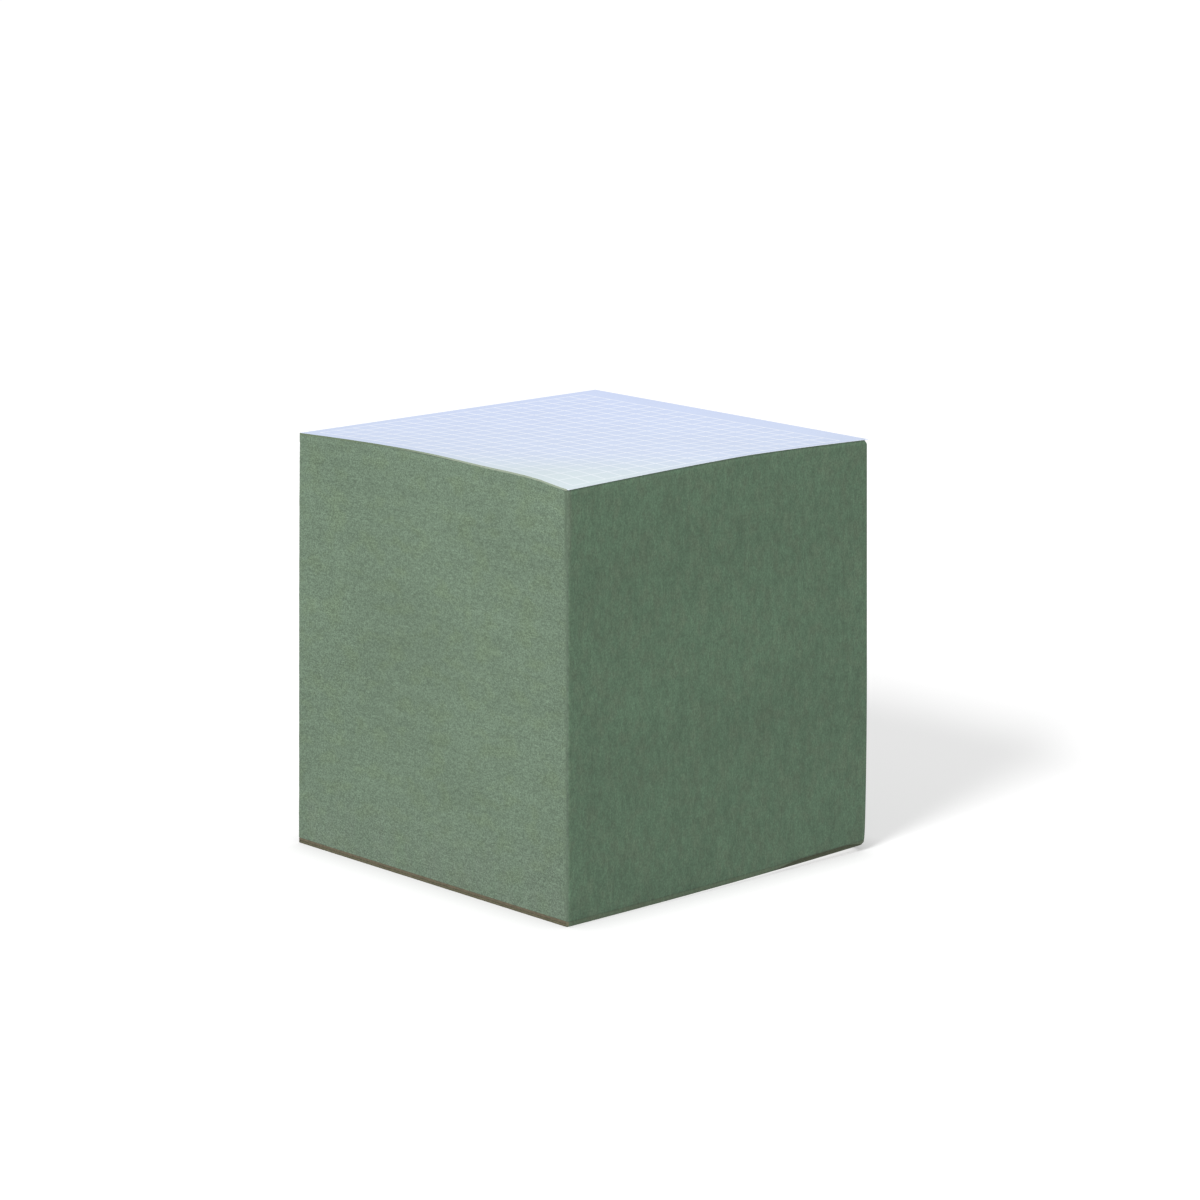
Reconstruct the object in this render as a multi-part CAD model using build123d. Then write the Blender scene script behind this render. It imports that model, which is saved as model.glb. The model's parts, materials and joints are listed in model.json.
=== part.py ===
"""A memo cube: a thick block of square note sheets on a chipboard board, padded with glue along one side.

Millimetres, +Z up. The glued side faces +X, so the sheets open from the free edge at -X.
The origin is the middle of the block's footprint, on the surface it rests on.
Sheets are numbered from the top: 1 is the top sheet.
"""

from build123d import *
import os

# Driving dimensions
SHEET_SIDE = 88.9  # the paper is 3.5 inches square
STACK_HEIGHT = 90.1  # the mean height of the sheets, whose real top is slightly crowned
AIR_GAP = 0.005  # under each sheet
LOOSE_SHEETS = 20  # the upper sheets, which lift one by one
PACKET_SHEETS = 25  # sheets in each group below the loose ones
PACKETS = 35
BOARD_THICKNESS = 1.2
GLUE_THICKNESS = 0.6
GLUE_CORNER_RADIUS = 0.8  # where the film's outline was trimmed
GLUE_EDGE_RADIUS = 0.25  # around the film's outer face
GLUE_FLOOR_GAP = 0.15  # keeps the film off the table, so that the board alone carries the block

# A hinged sheet keeps its thickness where real paper bends, so the underside is thinned next to the glue.
# That lets each sheet clear the one below it when the block is fanned.
BEND_RELIEF_DEPTH = 0.035
BEND_RELIEF_LENGTH = 1.0

# Derived dimensions
SHEET_COUNT = LOOSE_SHEETS + PACKETS * PACKET_SHEETS
SHEET_PITCH = STACK_HEIGHT / SHEET_COUNT
SHEET_THICKNESS = SHEET_PITCH - AIR_GAP
STACK_TOP = BOARD_THICKNESS + STACK_HEIGHT
FREE_EDGE_X = -(SHEET_SIDE + GLUE_THICKNESS) / 2
GLUED_EDGE_X = FREE_EDGE_X + SHEET_SIDE
GLUE_TOP = STACK_TOP - SHEET_PITCH  # one sheet low, so that the top sheet folds back over the film


def sheet_top(number):
    """Height of the upper face of a sheet, counting from 1 at the top."""
    return STACK_TOP - (number - 1) * SHEET_PITCH


def square_slab(thickness, top):
    """A plain square slab the size of a sheet, with its upper face at the given height."""
    centre_x = (FREE_EDGE_X + GLUED_EDGE_X) / 2
    return Pos(centre_x, 0, top - thickness / 2) * Box(SHEET_SIDE, SHEET_SIDE, thickness)


def hinged_sheet(number):
    """A sheet that lifts: a thin slab with its underside relieved along the glued edge."""
    top = sheet_top(number)
    bottom = top - SHEET_THICKNESS
    side_view = Polyline(
        (FREE_EDGE_X, top),
        (GLUED_EDGE_X, top),
        (GLUED_EDGE_X, bottom + BEND_RELIEF_DEPTH),
        (GLUED_EDGE_X - BEND_RELIEF_LENGTH, bottom),
        (FREE_EDGE_X, bottom),
        close=True,
    )
    return extrude(Plane.XZ * make_face(side_view), SHEET_SIDE / 2, both=True)


def packet(first, last):
    """Sheets that stay in the block, each its own slab with air between neighbours."""
    return [square_slab(SHEET_THICKNESS, sheet_top(number)) for number in range(first, last + 1)]


def back_board():
    """The chipboard under the sheets."""
    return square_slab(BOARD_THICKNESS, BOARD_THICKNESS)


def glue_spine():
    """The film of padding glue over one side of the block, with its corners and outer edges rounded."""
    height = GLUE_TOP - GLUE_FLOOR_GAP
    middle = Pos(GLUED_EDGE_X + GLUE_THICKNESS / 2, 0, GLUE_FLOOR_GAP + height / 2)
    film = Box(GLUE_THICKNESS, SHEET_SIDE, height)
    film = fillet(film.edges().filter_by(Axis.X), GLUE_CORNER_RADIUS)
    outer_rim = film.faces().sort_by(Axis.X)[-1].edges()
    return middle * fillet(outer_rim, GLUE_EDGE_RADIUS)


def save(node, solids):
    """Writes one node's solids as one STEP file."""
    group = Compound(label=node, children=solids)
    export_step(group, f"parts/{node}.step")


def main():
    os.makedirs("parts", exist_ok=True)
    save("back_board", [back_board()])
    save("glue_spine", [glue_spine()])
    save("top_sheet", [hinged_sheet(1)])
    for number in range(2, LOOSE_SHEETS + 1):
        save(f"sheet_{number:03d}", [hinged_sheet(number)])
    for first in range(LOOSE_SHEETS + 1, SHEET_COUNT, PACKET_SHEETS):
        last = first + PACKET_SHEETS - 1
        save(f"sheets_{first:03d}_{last:03d}", packet(first, last))


main()
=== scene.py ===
"""The looks of a memo cube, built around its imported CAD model.

Metres throughout; a name ending in _MM holds millimetres, which is what the materials work in.
The glued side faces +X, the sheets open from the free edge at -X, and the near face in the main view is -Y.
Every piece carries a "flat" attribute: each point's place in millimetres before the stack was crowned. The
materials read it, so that grain and print follow the sheets when they bow or fold.
"""

import json
import math
import re

import bpy
import numpy as np
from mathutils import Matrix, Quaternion, Vector


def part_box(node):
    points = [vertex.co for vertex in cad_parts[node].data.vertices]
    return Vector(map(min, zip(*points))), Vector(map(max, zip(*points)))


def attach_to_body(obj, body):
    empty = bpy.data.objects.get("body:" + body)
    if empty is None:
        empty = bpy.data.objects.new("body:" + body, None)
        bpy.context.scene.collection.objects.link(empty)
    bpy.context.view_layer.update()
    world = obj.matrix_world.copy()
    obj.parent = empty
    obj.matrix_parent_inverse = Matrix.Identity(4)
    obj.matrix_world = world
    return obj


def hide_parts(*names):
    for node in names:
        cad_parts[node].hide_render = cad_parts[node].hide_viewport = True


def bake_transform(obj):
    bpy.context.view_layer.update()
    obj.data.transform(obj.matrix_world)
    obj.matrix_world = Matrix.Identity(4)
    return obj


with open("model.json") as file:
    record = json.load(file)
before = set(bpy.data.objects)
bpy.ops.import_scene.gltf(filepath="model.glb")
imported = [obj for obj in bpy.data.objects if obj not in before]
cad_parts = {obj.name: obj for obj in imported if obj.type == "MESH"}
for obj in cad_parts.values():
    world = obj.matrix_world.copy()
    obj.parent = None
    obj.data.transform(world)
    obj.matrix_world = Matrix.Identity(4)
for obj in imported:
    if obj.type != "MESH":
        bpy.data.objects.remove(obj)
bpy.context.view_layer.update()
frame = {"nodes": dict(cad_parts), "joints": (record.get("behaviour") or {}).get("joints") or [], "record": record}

MM = 0.001
BOARD_LOW, BOARD_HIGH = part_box("back_board")
FILM_LOW, FILM_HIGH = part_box("glue_spine")
TOP_LOW, TOP_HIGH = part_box("top_sheet")

# The stack's sides, as the CAD model has them.
FREE_X, NEAR_Y = TOP_LOW.x, TOP_LOW.y
GLUED_X, FAR_Y = TOP_HIGH.x, TOP_HIGH.y
SIDE = GLUED_X - FREE_X
BOARD_TOP, STACK_TOP = BOARD_HIGH.z, TOP_HIGH.z

# The crown: the dyed near edge and the glued one have swollen, and stand highest in their middles.
NEAR_RISE = 1.43 * MM
NEAR_FADE = 2.2  # powers: how quickly each rise dies away across the sheet
GLUE_RISE = 1.0 * MM
GLUE_FADE = 5
GLUE_PEAK = 0.57  # where along the glued edge it is highest
GLUE_ROUNDNESS = 0.6  # of that rise: 0 would be a tent, and 1 a smooth hump
FREE_DROP = 0.27 * MM  # the free corners lie this far below the CAD top, which is the crown's mean
GLUE_DROP = 0.65 * MM  # and the glued ones
BACK_DROP = 0.22 * MM  # how much further the far free corner drops
CROWN_FADE = 1.5  # how quickly the crown dies away down the stack

# An extra rise of the near edge by the glue. Its place and width are shares of the side.
BUMP = 0.5 * MM
BUMP_PLACE, BUMP_WIDTH = 0.87, 0.13
BUMP_LOSS = 0.75  # the share of it that is gone at the glued corner
BUMP_LOSS_START = 0.9  # where along the side it starts to go

# The uppermost sheets have come slightly apart from the rest at the near edge.
PARTED_SHEETS = 4
PARTING = 0.1 * MM
PARTING_PLACE, PARTING_WIDTH = 0.52, 0.15  # along the near edge, in shares of the side
PARTING_REACH = 0.4  # and how far across the sheet it goes

# The foot of the far glued corner is worn: it tapers in, and it has curled up off the table.
FOOT_HEIGHT = 40 * MM
FILM_FOOT = 0.75 * MM
SHEET_FOOT = 0.4 * MM
FOOT_TIP = 0.45 * MM  # the film and the board are worn more at the very bottom
FOOT_TIP_HEIGHT = 1.6 * MM
CURL = 1.25 * MM
CURL_ALONG, CURL_ACROSS = 4, 2.4  # powers: how closely the curl keeps to its corner

# The sheets, as cut and as stuck.
SHEETS = 895
SHEET_PITCH = (STACK_TOP - BOARD_TOP) / SHEETS
CUT_WANDER = 0.05 * MM  # how far the cut wanders slowly up the stack
CUT_WANDER_SHEETS = 61
CUT_SCATTER = 0.03 * MM  # how much one sheet differs from the next
TOP_INSET = 0.16 * MM  # the uppermost sheets were cut a little smaller
TOP_INSET_SHEETS = 160
GROOVE = 0.014 * MM  # how much deeper than the sheets' edges the line between two sheets lies
FILM_OVERLAP = 0.62 * MM  # how far the top sheet's stuck edge lies over the film's upper edge
ASKEW = 0.3 * MM  # how far the top sheet passes the far side
FAN_BEND = 6 * MM  # how far from the glue a thumbed sheet takes to straighten
LIFT_BEND = 2.4 * MM  # and the top sheet, which is folded right back

# Rounded upright corners. Pairs are (the usual one, the far glued corner's).
SHEET_RADIUS = (0.12 * MM, 0.5 * MM)
BOARD_RADIUS = (0.2 * MM, 0.9 * MM)

# The board's cut sides, from the bottom up, as (share of its height, inset in millimetres).
BOARD_PROFILE = [(0.0, 0.14), (0.08, 0.04), (0.25, 0.0), (0.44, 0.02), (0.48, 0.07)]
BOARD_PROFILE += [(0.52, 0.02), (0.75, 0.0), (0.92, 0.04), (1.0, 0.1)]
BOARD_FUZZ = 0.08 * MM  # how unevenly they are cut

# Grid cells along a side. A lifting sheet has these lines before its bend and within it.
SHEET_CELLS, PACKET_CELLS, BOARD_CELLS = 24, 16, 80
STRAIGHT_LINES, BEND_LINES = 19, 22
BEND_MARGIN = 1.4  # the finer lines reach this many times as far as the bend

# The glue film. Pairs are (its near end, its far end).
FILM_TOP_RADIUS = (0.3 * MM, 1.4 * MM)
FILM_FOOT_RADIUS = (0.3 * MM, 0.7 * MM)
FILM_SIDE_RADIUS = (0.45 * MM, 0.18 * MM)
FILM_RIM_RADIUS = 0.18 * MM
FILM_TRIM = 0.06 * MM  # how far the film's foot stops above the CAD film's
BARE = 0.95 * MM  # and how much higher it stops towards the far end
BARE_START, BARE_FULL, BARE_END = 0.66, 0.78, 0.93  # where it does, in shares of the side
BARE_LOSS = 0.75  # the share of that which it makes up again from there to the corner
CREASE_DEPTH, CREASE_WIDTH = 0.05 * MM, 0.22 * MM
BRUSH_DEPTH = 0.016 * MM
BRUSH_FADE = 1 * MM  # how far in from the film's rim the brush marks reach their full depth
BRUSH_STROKES = ((23, 0.4), (57, 0.35), (131, 0.25))  # (strokes across the film, weight)

# The film's grid: fine lines this far in from every rim, and even ones between (how far in, how many).
FILM_RIM_LINES = np.array([0, 0.03, 0.08, 0.15, 0.25, 0.4, 0.65, 0.95, 1.3]) * MM
FILM_COLUMNS = (1.7 * MM, 215)
FILM_LEVELS = (1.9 * MM, 66)

# Sides and heights in millimetres, for the materials.
FREE_X_MM, NEAR_Y_MM, GLUED_X_MM, FAR_Y_MM = (side / MM for side in (FREE_X, NEAR_Y, GLUED_X, FAR_Y))
BOARD_TOP_MM, STACK_TOP_MM, FILM_TOP_MM = (level / MM for level in (BOARD_TOP, STACK_TOP, FILM_HIGH.z))
SIDE_MM = SIDE / MM
BLEED_LOW_MM, BLEED_HIGH_MM = 70.0, 84.0  # up this stretch the glue and the dye come to stain each other more

# The printed grid, which isn't quite centred on the cut sheet.
CELL_MM = 4.65
CELLS_ACROSS, CELLS_ALONG = 18, 17
FIRST_X_MM = FREE_X_MM + 3.6
FIRST_Y_MM = NEAR_Y_MM + 3.3
LINE_MM = 0.36

# The floor glows with painted light, by how open each point is to the air around it: painted contact shade close
# round the block and painted light under its edge: (openness, glow).
FLOOR_REACH = 8.0
FLOOR_GREY = 0.40
FLOOR_PAINTED_GLOW = ((0.0, 0.85), (0.48, 0.38), (1.0, 0.60))
OPENNESS_REACH = 10 * MM

# The key light, whose angles are in degrees.
KEY_DISTANCE = 20.0
KEY_HALF_WIDTH, KEY_HALF_LENGTH = 4.0, 10.5  # as seen from the block
KEY_STRENGTH = 4.1  # watts a square metre on a surface that faces it
KEY_TRAVEL = 104.9  # the way its light travels, from +X towards +Y
KEY_DIP = 37.5  # and how far downwards
KEY_TILT = 42  # how far it is turned about its own axis
SURROUND_LIGHT, SURROUND_SEEN = 0.48, 1.1  # the surround's strength as light, and as the camera sees it

# The camera's station: back from the block's upright axis, to its right and above the table.
CAMERA_AZIMUTH = 47.51  # degrees that it is turned left from looking along +Y
CAMERA_BACK, CAMERA_SIDE, CAMERA_HEIGHT = 0.9585, 0.00398, 0.25786
LENS_MM, SENSOR_MM = 129.82, 36.0
LENS_SHIFT = -0.7650

rng = np.random.default_rng(20)


def smooth_step(low, high, value):
    """0 below low, 1 above high, and an S-curve between."""
    t = np.clip((value - low) / (high - low), 0, 1)
    return t * t * (3 - 2 * t)


def bell(value, centre, width):
    """1 at the centre, dying away over the width to both sides."""
    return np.exp(-(((value - centre) / width) ** 2))


def foot(z, depth):
    """How far the far glued corner is worn back at height z."""
    return depth * np.clip(1 - z / FOOT_HEIGHT, 0, 1) ** 2


def foot_tip(z):
    """How much further the film and the board are worn back there, next to the table."""
    return FOOT_TIP * np.exp(-z / FOOT_TIP_HEIGHT)


def curl(along, across, z):
    """How far the far glued corner has curled up, most at the table and fading up the stack."""
    height = np.clip(1 - z / FOOT_HEIGHT, 0, 1)
    return CURL * along**CURL_ALONG * across**CURL_ACROSS * height**2


def crown(x, y, z):
    """How far a point of the stack stands above its place in a flat stack."""
    along = np.clip((x - FREE_X) / SIDE, 0, 1)
    across = np.clip((y - NEAR_Y) / SIDE, 0, 1)
    level = np.clip((z - BOARD_TOP) / (STACK_TOP - BOARD_TOP), 0, 1)
    tent = np.where(across < GLUE_PEAK, across / GLUE_PEAK, (1 - across) / (1 - GLUE_PEAK))
    hump = GLUE_ROUNDNESS * np.sin(math.pi / 2 * tent) + (1 - GLUE_ROUNDNESS) * tent
    kept = 1 - BUMP_LOSS * smooth_step(BUMP_LOSS_START, 1, along)
    bump = BUMP * bell(along, BUMP_PLACE, BUMP_WIDTH) * kept
    near = (NEAR_RISE * np.sin(math.pi * along) + bump) * (1 - across) ** NEAR_FADE
    rise = near + GLUE_RISE * hump * along**GLUE_FADE
    drop = FREE_DROP + (GLUE_DROP - FREE_DROP) * along + BACK_DROP * (1 - along) ** 1.5 * across
    return level**CROWN_FADE * (rise - drop) + curl(along, across, z)


def parting(x, y):
    """How far the parted sheets stand off the rest."""
    along = (x - FREE_X) / SIDE
    across = (y - NEAR_Y) / SIDE
    nearness = np.clip(1 - across / PARTING_REACH, 0, 1)
    return PARTING * bell(along, PARTING_PLACE, PARTING_WIDTH) * nearness**2


# Meshes


def make_object(name, points, faces, flat, face_slots, materials, smooth_angle=None):
    """A mesh object from numpy arrays, with its flat attribute and one material slot index per face."""
    mesh = bpy.data.meshes.new(name)
    mesh.from_pydata(points.tolist(), [], faces)
    attribute = mesh.attributes.new("flat", "FLOAT_VECTOR", "POINT")
    attribute.data.foreach_set("vector", (flat / MM).astype(np.float32).ravel())
    for material in materials:
        mesh.materials.append(material)
    mesh.polygons.foreach_set("material_index", np.array(face_slots, np.int32))
    mesh.polygons.foreach_set("use_smooth", np.full(len(faces), smooth_angle is not None))
    if smooth_angle is not None:
        mesh.set_sharp_from_angle(angle=math.radians(smooth_angle))
    mesh.validate()
    mesh.update()
    obj = bpy.data.objects.new(name, mesh)
    bpy.context.scene.collection.objects.link(obj)
    return obj


def ring_points(nx, ny):
    """The points (i, j) round an nx by ny grid, in the order that ring_index numbers them."""
    ring = [(i, 0) for i in range(nx)] + [(nx, j) for j in range(ny)]
    return ring + [(i, ny) for i in range(nx, 0, -1)] + [(0, j) for j in range(ny, 0, -1)]


def ring_index(i, j, nx, ny):
    """Place of grid point (i, j) on the ring round an nx by ny grid, or None inside it."""
    if j == 0:
        return i
    if i == nx:
        return nx + j
    if j == ny:
        return nx + ny + nx - i
    if i == 0:
        return 2 * nx + ny + ny - j
    return None


def grid_cap(nx, ny, ring_start, inner_start, upward):
    """Quads over one face of a slab, joined to the ring of points round its edge."""

    def at(i, j):
        ring = ring_index(i, j, nx, ny)
        return ring_start + ring if ring is not None else inner_start + (i - 1) * (ny - 1) + j - 1

    quads = []
    for i in range(nx):
        for j in range(ny):
            quad = [at(i, j), at(i + 1, j), at(i + 1, j + 1), at(i, j + 1)]
            quads.append(quad if upward else quad[::-1])
    return quads


def side_faces(ring, rows):
    """Quads up a slab's side, where each row of points is one ring."""
    faces = []
    for base in range(0, (rows - 1) * ring, ring):
        for k in range(ring):
            after = (k + 1) % ring
            faces.append([base + k, base + after, base + ring + after, base + ring + k])
    return faces


def round_corner(x, y, box, radius):
    """Pulls points near a box's corners in to arcs, of radius (the usual one, the far glued corner's)."""
    x0, x1, y0, y1 = box
    far_glued = (x > (x0 + x1) / 2) & (y > (y0 + y1) / 2)
    radius = np.where(far_glued, radius[1], radius[0])
    cx = np.clip(x, x0 + radius, x1 - radius)
    cy = np.clip(y, y0 + radius, y1 - radius)
    dx, dy = x - cx, y - cy
    reach = np.hypot(dx, dy)
    scale = np.where(reach > 0, np.maximum(abs(dx), abs(dy)) / np.maximum(reach, 1e-12), 1)
    return cx + dx * scale, cy + dy * scale


def layer_points(row, members, xs, ys, radius, rough, overlap):
    """The places of one layer of a slab's grid points, before the crown."""
    height, free, near, far = row
    index = np.array(members)
    x0, x1 = FREE_X + free, GLUED_X + overlap
    y0, y1 = NEAR_Y + near, FAR_Y - far
    x = x0 + (x1 - x0) * xs[index[:, 0]]
    y = y0 + (y1 - y0) * ys[index[:, 1]]
    if radius:
        x, y = round_corner(x, y, (x0, x1, y0, y1), radius)
    if rough:
        x = x + (FREE_X + SIDE / 2 - x) / SIDE * rough * rng.random(len(x))
        y = y + (NEAR_Y + SIDE / 2 - y) / SIDE * rough * rng.random(len(y))
    return np.column_stack([x, y, np.full(len(x), height)])


def slab(name, rows, xs, ys, materials, radius=None, lift=None, rough=0.0, smooth_angle=None, overlap=0.0):
    """A closed square slab. Rows run up its side, each (height, free inset, near inset, far inset).

    xs and ys place the grid lines from 0 to 1. The materials are the side's, the top's and the underside's.
    lift gives an extra rise from (x, y). rough is how unevenly the side is cut. overlap is how far the slab
    passes the glued side.
    """
    nx, ny = len(xs) - 1, len(ys) - 1
    ring = ring_points(nx, ny)
    inner = [(i, j) for i in range(1, nx) for j in range(1, ny)]
    layers = [layer_points(row, ring, xs, ys, radius, rough, overlap) for row in rows]
    layers += [layer_points(row, inner, xs, ys, radius, 0.0, overlap) for row in (rows[0], rows[-1])]
    flat = np.concatenate(layers)
    points = flat.copy()
    points[:, 2] += crown(*flat.T)
    if lift is not None:
        points[:, 2] += lift(flat[:, 0], flat[:, 1])

    sides = side_faces(len(ring), len(rows))
    inner_start = len(rows) * len(ring)
    under = grid_cap(nx, ny, 0, inner_start, upward=False)
    over = grid_cap(nx, ny, inner_start - len(ring), inner_start + len(inner), upward=True)
    slots = [0] * len(sides) + [2] * len(under) + [1] * len(over)
    return make_object(name, points, sides + under + over, flat, slots, materials, smooth_angle)


# Materials


def paint(red, green, blue):
    """A screen colour, 0 to 255 a channel, as linear light."""
    channels = [c / 255 for c in (red, green, blue)]
    return tuple(c / 12.92 if c <= 0.04045 else ((c + 0.055) / 1.055) ** 2.4 for c in channels) + (1.0,)


# Painted light: the paper is given paler from its far corner to its near one, and a mint painted sheen at the near
# glued corner.
PAPER_FAR_CORNER, PAPER_NEAR_CORNER = paint(189.6, 200.1, 225.5), paint(193.2, 203.3, 221.6)
PAPER_SHEEN = paint(196, 207.4, 211.5)
PAPER_CORE = paint(220, 227, 238)
PRINT = paint(227, 230, 236)
DYE, DYE_YELLOWER = paint(88.5, 104.1, 88.2), paint(89.0, 104.4, 85.9)
DYE_FOOT = paint(92.5, 103.5, 92)
DYE_CREPT = paint(89, 104, 88)
DYE_BY_GLUE = paint(76, 90, 75)
# The top sheets' rim: dark olive, and a painted highlight.
TOP_RIM_DARK, TOP_RIM_HIGHLIGHT = paint(88, 100, 78), paint(138, 147, 131)
GLUE, GLUE_WARMER = paint(79.7, 103.2, 82.2), paint(82.6, 101.7, 81.6)
GLUE_RIM = paint(88, 101, 85)
GLUE_END_LOW, GLUE_END_HIGH = paint(78, 94, 78), paint(78, 93, 77)
GLUE_ON_BOARD = paint(84, 80, 62)
BOARD_LOWER_PLY, BOARD_UPPER_PLY = paint(76, 75, 58), paint(80, 74.5, 60.5)
BOARD_FLECK = paint(108, 99, 82)
BOARD_GLUED = paint(89, 97, 80)


class Finish:
    """A material under construction, with short names for the nodes that the finishes share."""

    def __init__(self, name):
        self.material = bpy.data.materials.new(name)
        self.material.use_nodes = True
        self.tree = self.material.node_tree
        self.tree.nodes.clear()
        output = self.tree.nodes.new("ShaderNodeOutputMaterial")
        self.surface = self.tree.nodes.new("ShaderNodeBsdfPrincipled")
        self.tree.links.new(self.surface.outputs["BSDF"], output.inputs["Surface"])
        attribute = self.tree.nodes.new("ShaderNodeAttribute")
        attribute.attribute_name = "flat"
        self.flat = attribute.outputs["Vector"]
        split = self.tree.nodes.new("ShaderNodeSeparateXYZ")
        self.tree.links.new(self.flat, split.inputs[0])
        self.x, self.y, self.z = split.outputs

    def put(self, socket, value):
        """Feeds a socket with another node's output or with a plain value."""
        if isinstance(value, bpy.types.NodeSocket):
            self.tree.links.new(value, socket)
        else:
            socket.default_value = value

    def math(self, operation, first, second=0.0):
        """One of Blender's math operations on one or two values."""
        node = self.tree.nodes.new("ShaderNodeMath")
        node.operation = operation
        self.put(node.inputs[0], first)
        self.put(node.inputs[1], second)
        return node.outputs[0]

    def step(self, value, low, high, out_low=0.0, out_high=1.0):
        """An S-curve from out_low to out_high as the value goes from low to high."""
        node = self.tree.nodes.new("ShaderNodeMapRange")
        node.interpolation_type = "SMOOTHSTEP"
        for socket, item in zip(node.inputs, (value, low, high, out_low, out_high)):
            self.put(socket, item)
        return node.outputs[0]

    def noise(self, per_mm, detail=2.0, shift=0.0, contrast=1.0, rough=0.5):
        """Noise between about 0 and 1, with features per millimetre given along x, y and z."""
        mapping = self.tree.nodes.new("ShaderNodeMapping")
        self.put(mapping.inputs["Vector"], self.flat)
        mapping.inputs["Scale"].default_value = per_mm
        mapping.inputs["Location"].default_value = (shift, 2.7 * shift, 1.3 * shift)
        node = self.tree.nodes.new("ShaderNodeTexNoise")
        node.inputs["Scale"].default_value = 1.0
        node.inputs["Detail"].default_value = detail
        node.inputs["Roughness"].default_value = rough
        self.put(node.inputs["Vector"], mapping.outputs[0])
        return self.step(node.outputs["Fac"], 0.5 - 0.25 / contrast, 0.5 + 0.25 / contrast)

    def mix(self, factor, first, second):
        """The first colour where the factor is 0, and the second where it is 1."""
        node = self.tree.nodes.new("ShaderNodeMix")
        node.data_type = "RGBA"
        first_colour, second_colour, mixed_colour = node.inputs[6], node.inputs[7], node.outputs[2]
        self.put(node.inputs["Factor"], factor)
        self.put(first_colour, first)
        self.put(second_colour, second)
        return mixed_colour

    def shade(self, colour, *layers):
        """The colour made darker or lighter by each (fac, low, high): times low at fac 0, times high at 1."""
        for fac, low, high in layers:
            node = self.tree.nodes.new("ShaderNodeMapRange")
            for socket, item in zip(node.inputs, (fac, 0.0, 1.0, low, high)):
                self.put(socket, item)
            scale = self.tree.nodes.new("ShaderNodeVectorMath")
            scale.operation = "SCALE"
            self.put(scale.inputs[0], colour)
            self.put(scale.inputs["Scale"], node.outputs[0])
            colour = scale.outputs[0]
        return colour

    def done(self, colour, roughness, height, height_mm, specular=0.3):
        """Joins colour, roughness and surface relief to the surface, and returns the material."""
        bump = self.tree.nodes.new("ShaderNodeBump")
        bump.inputs["Strength"].default_value = 1.0
        bump.inputs["Distance"].default_value = height_mm * MM
        self.put(bump.inputs["Height"], height)
        self.put(self.surface.inputs["Base Color"], colour)
        self.put(self.surface.inputs["Roughness"], roughness)
        self.put(self.surface.inputs["Normal"], bump.outputs[0])
        self.surface.inputs["Specular IOR Level"].default_value = specular
        return self.material


def grid_line(finish, coordinate, start, cells):
    """(1 on this axis's printed lines, 1 inside the grid) along one axis."""
    cell = finish.math("DIVIDE", finish.math("SUBTRACT", coordinate, start), CELL_MM)
    nearest = finish.math("SUBTRACT", cell, finish.math("ROUND", cell))
    distance = finish.math("MULTIPLY", finish.math("ABSOLUTE", nearest), CELL_MM)
    line = finish.step(distance, LINE_MM * 0.35, LINE_MM * 0.65, 1.0, 0.0)
    edge = LINE_MM / 2 / CELL_MM
    after_first = finish.math("GREATER_THAN", cell, -edge)
    before_last = finish.math("LESS_THAN", cell, cells + edge)
    return line, finish.math("MULTIPLY", after_first, before_last)


def printed_lines(finish):
    """1 on the printed grid's lines and 0 elsewhere."""
    across, in_x = grid_line(finish, finish.x, FIRST_X_MM, CELLS_ACROSS)
    along, in_y = grid_line(finish, finish.y, FIRST_Y_MM, CELLS_ALONG)
    lines = finish.math("MULTIPLY", finish.math("MAXIMUM", across, along), in_x)
    return finish.math("MULTIPLY", lines, in_y)


def cut_edge_distance(finish):
    """How far a point lies in from the nearest of the three dyed edges, in millimetres."""
    from_free = finish.math("SUBTRACT", finish.x, FREE_X_MM)
    from_near = finish.math("SUBTRACT", finish.y, NEAR_Y_MM)
    from_far = finish.math("SUBTRACT", FAR_Y_MM, finish.y)
    return finish.math("MINIMUM", from_free, finish.math("MINIMUM", from_near, from_far))


def paper_face(name, printed, stained=True):
    """Uncoated pale blue note paper, with a painted sheen that turns it paler and mint towards the near glued
    corner.

    printed adds the grid, and stained adds the dye that has crept in from the cut edges.
    """
    finish = Finish(name)
    fibre = finish.noise((1.6, 1.6, 0.1), detail=5, shift=3.0)
    cloud = finish.noise((0.09, 0.09, 0.1), detail=2, shift=8.0)
    # painted light: paler from the far corner to the near one, with a mint painted sheen at the near glued corner
    toward_near = finish.math("SUBTRACT", finish.x, finish.y)
    place = finish.step(toward_near, -SIDE_MM, SIDE_MM)
    mint = finish.step(toward_near, SIDE_MM * 0.35, SIDE_MM * 0.9)
    colour = finish.mix(mint, finish.mix(place, PAPER_FAR_CORNER, PAPER_NEAR_CORNER), PAPER_SHEEN)
    colour = finish.shade(colour, (fibre, 0.98, 1.02), (cloud, 0.99, 1.01))
    if printed:
        worn = finish.math("MULTIPLY", printed_lines(finish), finish.step(fibre, 0.0, 1.0, 0.75, 1.0))
        # the print fades under the painted sheen
        worn = finish.math("MULTIPLY", worn, finish.step(mint, 0.0, 1.0, 1.0, 0.6))
        colour = finish.mix(worn, colour, PRINT)
    if stained:
        creep = finish.step(cut_edge_distance(finish), 0.3, 0.45, 1.0, 0.0)
        colour = finish.mix(creep, colour, DYE_CREPT)
    return finish.done(colour, finish.step(fibre, 0.0, 1.0, 0.82, 0.92), fibre, 0.012)


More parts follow.
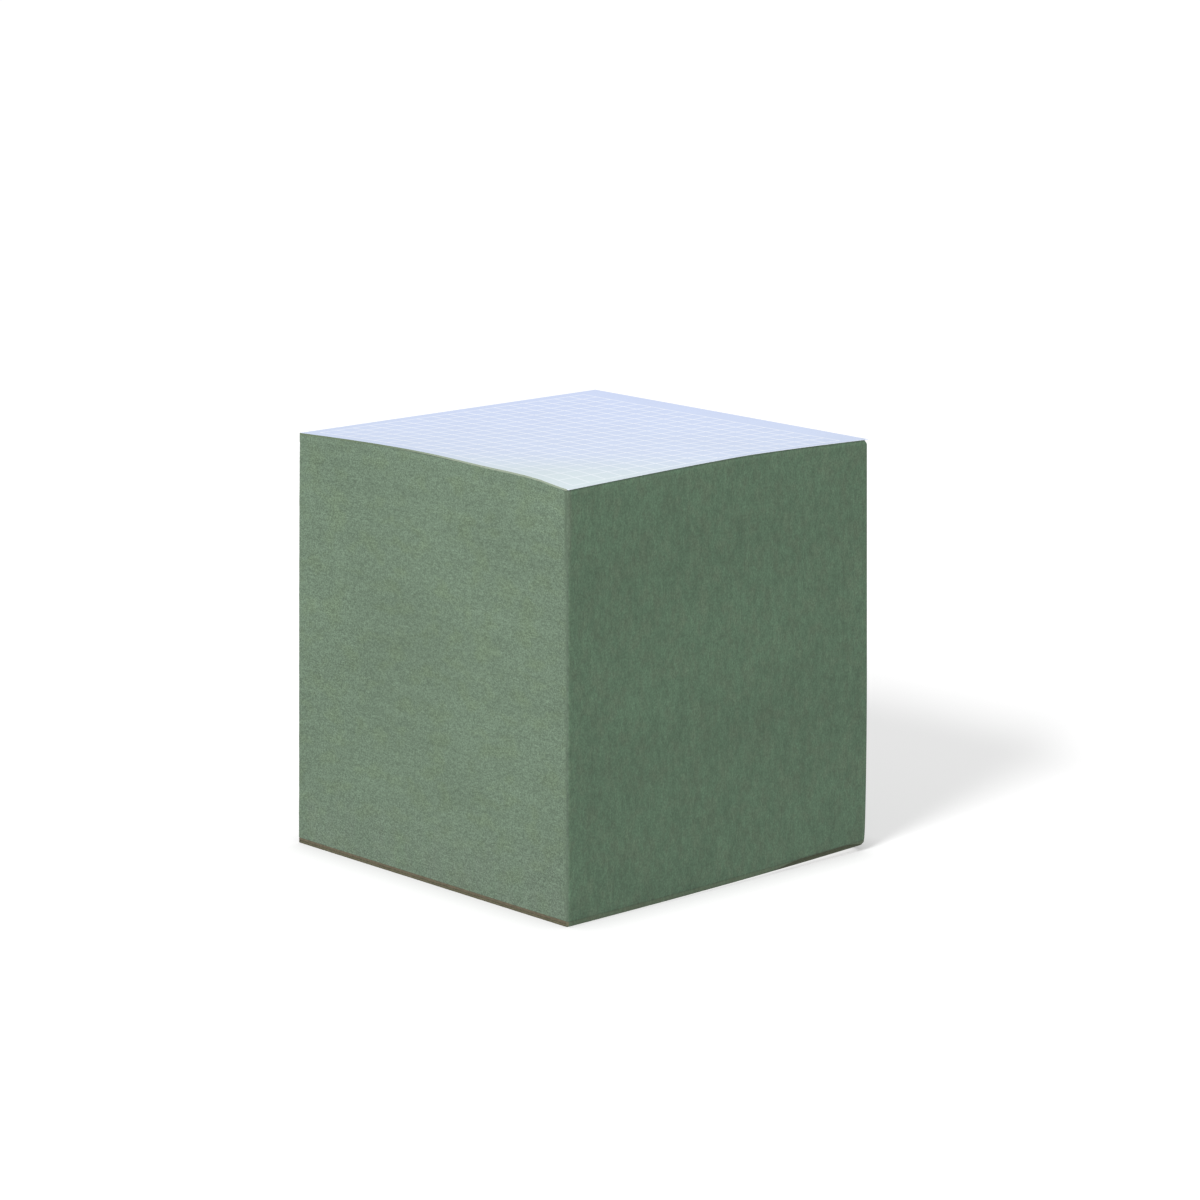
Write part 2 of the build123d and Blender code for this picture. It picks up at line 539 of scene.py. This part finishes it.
def dyed_edge(name, top_sheet=False):
    """The guillotined edge of the stack: dyed green, grainy with cut fibres, and bare under the glue."""
    finish = Finish(name)
    grain = finish.noise((2.8, 2.8, 3.6), detail=1, shift=1.0, rough=0.9)
    patches = finish.noise((0.28, 0.28, 0.5), detail=3, shift=5.0)
    cloud = finish.noise((0.025, 0.025, 0.05), detail=1, shift=3.0)
    mottle = finish.noise((0.14, 0.14, 0.24), detail=2, shift=9.0)
    warm = finish.noise((0.3, 0.3, 0.12), detail=2, shift=14.0)
    streak = finish.noise((0.05, 0.05, 2.2), detail=2, shift=21.0)
    layer = finish.noise((0.015, 0.015, 0.4), detail=2, shift=25.0)
    pale_fibre = finish.noise((0.35, 0.35, 5.0), detail=2, shift=17.0, contrast=1.6)
    colour = finish.mix(finish.step(mottle, 0.4, 1.0), DYE, DYE_YELLOWER)
    low = finish.step(finish.z, 2.0, 22.0, 0.5, 0.0)
    colour = finish.mix(finish.math("MULTIPLY", low, warm), colour, DYE_FOOT)
    # lighter in the top two millimetres of the stack, towards the free side
    lighter_top = finish.step(finish.z, STACK_TOP_MM - 2.2, STACK_TOP_MM - 0.8)
    lighter_top = finish.math("MULTIPLY", lighter_top, finish.step(finish.x, 0.0, 20.0, 1.0, 0.0))
    colour = finish.shade(
        colour,
        # painted shade and light: darker towards the bottom and lighter towards the top, against the floor's
        # bounce light
        (finish.step(finish.z, 0.0, 90.0), 0.957, 1.03),
        (grain, 0.67, 1.33),
        (patches, 0.975, 1.025),
        (streak, 0.97, 1.03),
        (layer, 0.982, 1.018),
        (cloud, 0.95, 1.05),
        (finish.step(pale_fibre, 0.88, 1.0), 1.0, 1.1),
        (lighter_top, 1.0, 1.07),
    )
    bleed = finish.step(finish.x, GLUED_X_MM - 1.2, GLUED_X_MM - 0.4)
    upper = finish.step(finish.z, BLEED_LOW_MM, BLEED_HIGH_MM, 0.3, 0.9)
    colour = finish.mix(finish.math("MULTIPLY", bleed, upper), colour, DYE_BY_GLUE)
    if top_sheet:
        # the rim turns from dark olive at the free side to a pale painted highlight towards the glued side
        rim = finish.step(finish.x, -20.0, 12.0)
        colour = finish.mix(0.75, colour, finish.mix(rim, TOP_RIM_DARK, TOP_RIM_HIGHLIGHT))
    bare = finish.step(finish.x, GLUED_X_MM - 0.04, GLUED_X_MM - 0.01)
    colour = finish.mix(bare, colour, PAPER_CORE)
    return finish.done(colour, finish.step(grain, 0.0, 1.0, 0.78, 0.95), grain, 0.02, specular=0.2)


def glue_by_board(finish, colour, near_side):
    """The film's colour, browner where it covers the board, with painted shade in the crease along the board's
    top.
    """
    over_board = finish.step(finish.z, BOARD_TOP_MM - 0.1, BOARD_TOP_MM + 0.1, 1.0, 0.0)
    strength = finish.math("ADD", finish.math("MULTIPLY", near_side, 0.65), 0.3)
    colour = finish.mix(finish.math("MULTIPLY", over_board, strength), colour, GLUE_ON_BOARD)
    crease = finish.math("ABSOLUTE", finish.math("SUBTRACT", finish.z, BOARD_TOP_MM + 0.05))
    # painted shade in the crease
    return finish.shade(colour, (finish.step(crease, 0.06, 0.22), 0.82, 1.0))


def padding_glue(name):
    """Green padding glue, dragged up and down with a brush and dried matt."""
    finish = Finish(name)
    drag = finish.noise((0.8, 0.95, 0.5), detail=3, shift=2.0, rough=0.7)
    blotch = finish.noise((0.2, 0.24, 0.12), detail=3, shift=8.0, rough=0.6)
    grain = finish.noise((2.5, 2.5, 2.1), detail=1, shift=6.0, rough=0.8)
    mottle = finish.noise((0.26, 0.34, 0.26), detail=4, shift=11.0, rough=0.7)
    cloud = finish.noise((0.02, 0.02, 0.05), detail=1, shift=13.0)
    upper = finish.step(finish.z, BLEED_LOW_MM, BLEED_HIGH_MM)
    from_near = finish.math("SUBTRACT", finish.y, NEAR_Y_MM)
    near_rim = finish.math("MULTIPLY", finish.step(from_near, 0.3, 1.3, 0.6, 0.0), upper)
    near_side = finish.step(from_near, 0.05, 0.3, 1.0, 0.0)
    corner = finish.step(from_near, 0.1, 0.6, 1.0, 0.0)
    below_top = finish.math("SUBTRACT", FILM_TOP_MM, finish.z)
    colour = finish.mix(finish.step(mottle, 0.25, 1.0), GLUE, GLUE_WARMER)
    colour = finish.mix(near_rim, colour, GLUE_RIM)
    colour = finish.mix(near_side, colour, finish.mix(upper, GLUE_END_LOW, GLUE_END_HIGH))
    colour = finish.shade(
        colour,
        # painted shade on the film's rounded near corner
        (corner, 1.0, 0.87),
        (blotch, 0.93, 1.07),
        (drag, 0.86, 1.14),
        (grain, 0.78, 1.22),
        (cloud, 0.955, 1.045),
        # painted shade: darker towards the bottom
        (finish.step(finish.z, 0.0, 60.0), 0.95, 1.0),
        # a lighter band about a millimetre under the film's top, and painted shade in a dark line along its top
        # rim
        (finish.step(below_top, 0.6, 1.3, 1.0, 0.0), 1.0, 1.12),
        (finish.step(below_top, 0.15, 0.5, 1.0, 0.0), 1.0, 0.72),
    )
    colour = glue_by_board(finish, colour, near_side)
    height = finish.math("ADD", drag, finish.math("MULTIPLY", grain, 0.4))
    return finish.done(colour, finish.step(grain, 0.0, 1.0, 0.6, 0.78), height, 0.02)


def chipboard(name):
    """Grey-brown chipboard: a redder upper ply, a duller lower one, and flecks of recycled fibre."""
    finish = Finish(name)
    fibre = finish.noise((1.1, 1.1, 6.0), detail=5, shift=4.0)
    fleck = finish.noise((2.4, 2.4, 2.4), detail=2, shift=7.0, contrast=2.5)
    upper = finish.step(finish.z, BOARD_TOP_MM * 0.4, BOARD_TOP_MM * 0.6)
    seam = finish.math("ABSOLUTE", finish.math("SUBTRACT", finish.z, BOARD_TOP_MM * 0.48))
    colour = finish.mix(upper, BOARD_LOWER_PLY, BOARD_UPPER_PLY)
    colour = finish.shade(colour, (fibre, 0.82, 1.16), (finish.step(seam, 0.03, 0.12), 0.8, 1.0))
    colour = finish.mix(finish.math("MULTIPLY", fleck, 0.25), colour, BOARD_FLECK)
    glued = finish.step(finish.x, GLUED_X_MM - 0.4, GLUED_X_MM - 0.05)
    colour = finish.mix(finish.math("MULTIPLY", glued, 0.75), colour, BOARD_GLUED)
    return finish.done(colour, finish.step(fibre, 0.0, 1.0, 0.85, 0.97), fibre, 0.05, specular=0.15)


# Pieces


def even(count):
    """Evenly spaced grid lines from 0 to 1."""
    return np.linspace(0, 1, count + 1)


def hinge_spacing(bend):
    """Grid lines across a lifting sheet, close together where it bends by the glue."""
    start = 1 - BEND_MARGIN * bend / SIDE
    return np.concatenate([np.linspace(0, start, STRAIGHT_LINES), np.linspace(start, 1, BEND_LINES)[1:]])


def cut_insets(count):
    """How far each sheet's free, near and far edges fall short of the square."""
    kernel = np.hanning(CUT_WANDER_SHEETS)
    wander = rng.normal(0, 1, (count + len(kernel) - 1, 3))
    smooth = np.column_stack([np.convolve(column, kernel, "valid") for column in wander.T])
    slow = (smooth - smooth.min(0)) / np.ptp(smooth, axis=0)
    insets = CUT_WANDER * slow + CUT_SCATTER * rng.random((count, 3))
    insets[:, :2] += TOP_INSET * np.exp(-np.arange(count) / TOP_INSET_SHEETS)[:, None]
    return insets


INSETS = cut_insets(SHEETS)


def groove_inset(number):
    """The insets of the groove under a sheet, which both neighbours share."""
    return INSETS[number - 1 : number + 1].max(0) + GROOVE


def loose_sheet(node, number, materials, bend):
    """One lifting sheet, closed and as thick as its CAD solid."""
    low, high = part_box(node)
    free, near, far = INSETS[number - 1]
    if number == 1:
        far -= ASKEW
    rows = [(low.z, free, near, far), (high.z, free, near, far)]
    lift = parting if number <= PARTED_SHEETS else None
    xs, ys = hinge_spacing(bend), even(SHEET_CELLS)
    return slab(f"{node}_paper", rows, xs, ys, materials, lift=lift, smooth_angle=30)


def flap(materials):
    """The sliver of the top sheet that is stuck down over the film's upper edge, and stays there."""
    near, far = INSETS[0, 1], INSETS[0, 2] - ASKEW
    rows = [(TOP_LOW.z, SIDE, near, far), (TOP_HIGH.z, SIDE, near, far)]
    xs, ys = even(2), even(SHEET_CELLS)
    return slab("top_sheet_flap_paper", rows, xs, ys, materials, smooth_angle=30, overlap=FILM_OVERLAP)


def packet(node, materials):
    """The sheets of one CAD packet: every sheet's edge is a ridge, with a groove between neighbours."""
    first, last = map(int, re.findall(r"\d+", node))
    rows = []
    for number in range(last, first - 1, -1):
        level = BOARD_TOP + (SHEETS - number) * SHEET_PITCH
        worn = np.array([0, 0, foot(level, SHEET_FOOT)])
        rows.append((level, *(groove_inset(number) + worn)))
        rows.append((level + SHEET_PITCH / 2, *(INSETS[number - 1] + worn)))
    rows.append((level + SHEET_PITCH, *(groove_inset(first - 1) + worn)))
    lines = even(PACKET_CELLS)
    return slab(f"{node}_paper", rows, lines, lines, materials, SHEET_RADIUS)


def board(material):
    """The chipboard, with worn corners, fuzzy cut sides and the line between its two plies."""
    rows = []
    for share, inset_mm in BOARD_PROFILE:
        height, inset = share * (BOARD_TOP - BOARD_LOW.z), inset_mm * MM
        rows.append((BOARD_LOW.z + height, inset, inset, inset + foot_tip(height)))
    name, lines, materials = "back_board_chipboard", even(BOARD_CELLS), [material] * 3
    return slab(name, rows, lines, lines, materials, BOARD_RADIUS, rough=BOARD_FUZZ, smooth_angle=40)


def corner_drop(distance, radius):
    """How far a rounded corner falls away at a distance in from the end."""
    inward = np.clip(radius - distance, 0, radius)
    return radius - np.sqrt(np.maximum(radius**2 - inward**2, 0))


def brushed_relief(y, z):
    """Vertical brush marks: fine across the film and long down it, between -1 and 1."""
    total = np.zeros_like(y)
    for strokes, weight in BRUSH_STROKES:
        phase, wander = rng.uniform(0, 2 * math.pi, 2)
        swing = np.sin(2 * math.pi * z / SIDE * rng.uniform(0.8, 2.2) + wander)
        total += weight * np.sin(2 * math.pi * strokes * y / SIDE + phase + 1.3 * swing)
    return total


def rimmed_lines(span, margin, count):
    """Places along a span: close together at both ends, and even between the margins."""
    middle = np.linspace(margin, span - margin, count)
    return np.concatenate([FILM_RIM_LINES, middle, span - FILM_RIM_LINES[::-1]])


def grid_points(*grids):
    """Points one to a row, from grids of their x, y and z."""
    return np.column_stack([grid.ravel() for grid in grids])


def film_height(inset, from_end, share):
    """How high each point of the film is before the crown: share runs from its foot to its top."""
    near_end = inset < SIDE / 2
    along = inset / SIDE
    regained = BARE_LOSS * smooth_step(BARE_END, 1, along)
    bare = BARE * smooth_step(BARE_START, BARE_FULL, along) * (1 - regained)
    foot_line = FILM_LOW.z + FILM_TRIM + bare + corner_drop(from_end, np.where(near_end, *FILM_FOOT_RADIUS))
    top_line = FILM_HIGH.z - corner_drop(from_end, np.where(near_end, *FILM_TOP_RADIUS))
    return foot_line + (top_line - foot_line) * share


def film_thickness(inset, from_end, from_rim, flat_z):
    """How thick the film is before its brush marks: rounded at its rims, and creased over the board."""
    side_fall = corner_drop(from_end, np.where(inset < SIDE / 2, *FILM_SIDE_RADIUS))
    fall = np.maximum(side_fall, corner_drop(from_rim, FILM_RIM_RADIUS))
    return FILM_HIGH.x - FILM_LOW.x - fall - CREASE_DEPTH * bell(flat_z, BOARD_TOP, CREASE_WIDTH)


def shell_faces(nx, ny):
    """The faces of a closed shell of two nx by ny grids of points, the inner one and then the outer one."""
    count = nx * ny

    def at(i, j):
        return i * ny + j

    faces = []
    for i in range(nx - 1):
        for j in range(ny - 1):
            quad = [at(i, j), at(i + 1, j), at(i + 1, j + 1), at(i, j + 1)]
            faces.append([v + count for v in quad])
            faces.append(quad[::-1])
    border = [at(*point) for point in ring_points(nx - 1, ny - 1)]
    for a, b in zip(border, border[1:] + border[:1]):
        faces.append([a, b, b + count, a + count])
    return faces


def film(material):
    """The glue film: rounded where it was trimmed, creased over the board, and short of it at the far end."""
    span = FILM_HIGH.z - FILM_LOW.z
    columns, levels = rimmed_lines(SIDE, *FILM_COLUMNS), rimmed_lines(span, *FILM_LEVELS)
    inset, level = np.meshgrid(columns, levels, indexing="ij")
    from_end = np.minimum(inset, SIDE - inset)
    from_rim = np.minimum(level, span - level)

    flat_z = film_height(inset, from_end, level / span)
    taper = foot(flat_z, FILM_FOOT) + foot_tip(flat_z)
    y = NEAR_Y + inset * (1 - taper / SIDE)
    z = flat_z + crown(np.full_like(y, GLUED_X), y, flat_z)
    relief = BRUSH_DEPTH * brushed_relief(y, z) * smooth_step(0, BRUSH_FADE, np.minimum(from_end, from_rim))
    inner_x = np.full_like(y, GLUED_X)
    outer_x = GLUED_X + film_thickness(inset, from_end, from_rim, flat_z) + relief

    points = np.concatenate([grid_points(inner_x, y, z), grid_points(outer_x, y, z)])
    flat = np.concatenate([grid_points(inner_x, y, flat_z), grid_points(outer_x, y, flat_z)])
    faces = shell_faces(len(columns), len(levels))
    return make_object("glue_spine_film", points, faces, flat, [0] * len(faces), [material], smooth_angle=55)


def make_pieces():
    """The piece that stands for each CAD node, by the node's name, and the top sheet's stuck flap."""
    printed = paper_face("printed_paper", printed=True)
    unstained = paper_face("top_paper", printed=True, stained=False)
    plain = paper_face("plain_paper", printed=False)
    edge = dyed_edge("dyed_edge")
    top_edge = dyed_edge("top_sheet_edge", top_sheet=True)
    pieces = {
        "back_board": board(chipboard("chipboard")),
        "glue_spine": film(padding_glue("padding_glue")),
    }
    for node in sorted(set(frame["nodes"]) - set(pieces)):
        if node == "top_sheet":
            pieces[node] = loose_sheet(node, 1, [top_edge, unstained, plain], LIFT_BEND)
        elif node.startswith("sheets_"):
            pieces[node] = packet(node, [edge, printed, plain])
        else:
            number = int(node.split("_")[1])
            rim = top_edge if number <= PARTED_SHEETS else edge
            pieces[node] = loose_sheet(node, number, [rim, printed, plain], FAN_BEND)
    return pieces, flap([top_edge, unstained, plain])


def attach(piece, node, body, joint_of):
    """Puts a node's piece on its body; where that body turns on a hinge, it only fixes the piece's place into its
    mesh.
    """
    if body in joint_of:
        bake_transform(piece)
    else:
        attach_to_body(piece, body)
    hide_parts(node)


def build_block():
    """Every piece of the memo cube, standing for its own CAD node, and on its own body where that body doesn't
    turn on a hinge.
    """
    body_of = {node: body for body, nodes in frame["record"]["behaviour"]["bodies"].items() for node in nodes}
    joint_of = {joint["child"]: joint for joint in frame["joints"]}
    pieces, stuck = make_pieces()
    for node, piece in pieces.items():
        attach(piece, node, body_of[node], joint_of)
    attach(stuck, "glue_spine", body_of["glue_spine"], joint_of)


# Stage


def floor_finish():
    """Pale grey that glows with painted light: painted contact shade close round the block, and painted light
    under its edge.
    """
    material = bpy.data.materials.new("pale_floor")
    material.use_nodes = True
    tree = material.node_tree
    surface = tree.nodes["Principled BSDF"]
    surface.inputs["Base Color"].default_value = (FLOOR_GREY, FLOOR_GREY, FLOOR_GREY, 1)
    surface.inputs["Roughness"].default_value = 0.9
    surface.inputs["Specular IOR Level"].default_value = 0.1
    surface.inputs["Emission Color"].default_value = (1, 1, 1, 1)
    openness = tree.nodes.new("ShaderNodeAmbientOcclusion")
    openness.inputs["Distance"].default_value = OPENNESS_REACH
    # painted light and shade: the glow follows how open the floor is
    glow = tree.nodes.new("ShaderNodeValToRGB")
    glow.color_ramp.elements.new(FLOOR_PAINTED_GLOW[1][0])
    for element, (place, strength) in zip(glow.color_ramp.elements, FLOOR_PAINTED_GLOW):
        element.position = place
        element.color = (strength, strength, strength, 1)
    tree.links.new(openness.outputs["AO"], glow.inputs["Fac"])
    tree.links.new(glow.outputs["Color"], surface.inputs["Emission Strength"])
    return material


def pale_floor():
    """A wide pale floor at the foot of the block."""
    reach = FLOOR_REACH
    mesh = bpy.data.meshes.new("floor")
    corners = [(-reach, -reach, 0), (reach, -reach, 0), (reach, reach, 0), (-reach, reach, 0)]
    mesh.from_pydata(corners, [], [(0, 1, 2, 3)])
    mesh.materials.append(floor_finish())
    floor = bpy.data.objects.new("floor", mesh)
    bpy.context.scene.collection.objects.link(floor)


def key_light():
    """One long softbox from the near side, tilted on its stand."""
    key = bpy.data.lights.new("key", "AREA")
    key.shape = "RECTANGLE"
    key.size = 2 * KEY_DISTANCE * math.tan(math.radians(KEY_HALF_WIDTH))
    key.size_y = 2 * KEY_DISTANCE * math.tan(math.radians(KEY_HALF_LENGTH))
    key.energy = KEY_STRENGTH * math.pi * KEY_DISTANCE**2
    lamp = bpy.data.objects.new("key", key)
    travel, dip = math.radians(KEY_TRAVEL), math.radians(KEY_DIP)
    level = math.cos(dip)
    direction = Vector((math.cos(travel) * level, math.sin(travel) * level, -math.sin(dip)))
    lamp.location = -KEY_DISTANCE * direction
    upright = direction.to_track_quat("-Z", "Y")
    lamp.rotation_euler = (upright @ Quaternion((0, 0, 1), math.radians(KEY_TILT))).to_euler()
    lamp.visible_camera = False
    bpy.context.scene.collection.objects.link(lamp)


def white_surround():
    """An even white surround, which the camera sees brighter than it shines."""
    world = bpy.data.worlds.new("surround")
    world.use_nodes = True
    tree = world.node_tree
    tree.nodes.clear()
    output = tree.nodes.new("ShaderNodeOutputWorld")
    path = tree.nodes.new("ShaderNodeLightPath")
    strength = tree.nodes.new("ShaderNodeMapRange")
    background = tree.nodes.new("ShaderNodeBackground")
    strength.inputs["To Min"].default_value = SURROUND_LIGHT
    strength.inputs["To Max"].default_value = SURROUND_SEEN
    background.inputs["Color"].default_value = (1, 1, 1, 1)
    tree.links.new(path.outputs["Is Camera Ray"], strength.inputs["Value"])
    tree.links.new(strength.outputs[0], background.inputs["Strength"])
    tree.links.new(background.outputs[0], output.inputs["Surface"])
    bpy.context.scene.world = world


def camera():
    """A level camera with its lens shifted down, which keeps the block's uprights parallel."""
    data = bpy.data.cameras.new("camera")
    data.sensor_width = SENSOR_MM
    data.lens = LENS_MM
    data.clip_end = 100
    cam = bpy.data.objects.new("camera", data)
    azimuth = math.radians(CAMERA_AZIMUTH)
    ahead = Vector((-math.sin(azimuth), math.cos(azimuth), 0))
    right = Vector((math.cos(azimuth), math.sin(azimuth), 0))
    cam.location = right * CAMERA_SIDE - ahead * CAMERA_BACK + Vector((0, 0, CAMERA_HEIGHT))
    cam.rotation_euler = (math.pi / 2, 0, azimuth)
    bpy.context.scene.collection.objects.link(cam)
    bpy.context.scene.camera = cam
    shift_at_station(cam)


def shift_at_station(cam):
    """Shifts the lens only while the camera stays at its first station, and not in views from elsewhere."""
    driver = cam.data.driver_add("shift_y").driver
    driver.type = "SCRIPTED"
    for name, kind in (("x", "LOC_X"), ("y", "LOC_Y")):
        variable = driver.variables.new()
        variable.name = name
        variable.type = "TRANSFORMS"
        variable.targets[0].id = cam
        variable.targets[0].transform_type = kind
        variable.targets[0].transform_space = "WORLD_SPACE"
    here = f"fabs(x - ({cam.location.x:.6f})) < 0.0001 and fabs(y - ({cam.location.y:.6f})) < 0.0001"
    driver.expression = f"{LENS_SHIFT} if {here} else 0.0"


bpy.context.scene.view_settings.view_transform = "Standard"
build_block()
pale_floor()
key_light()
white_surround()
camera()
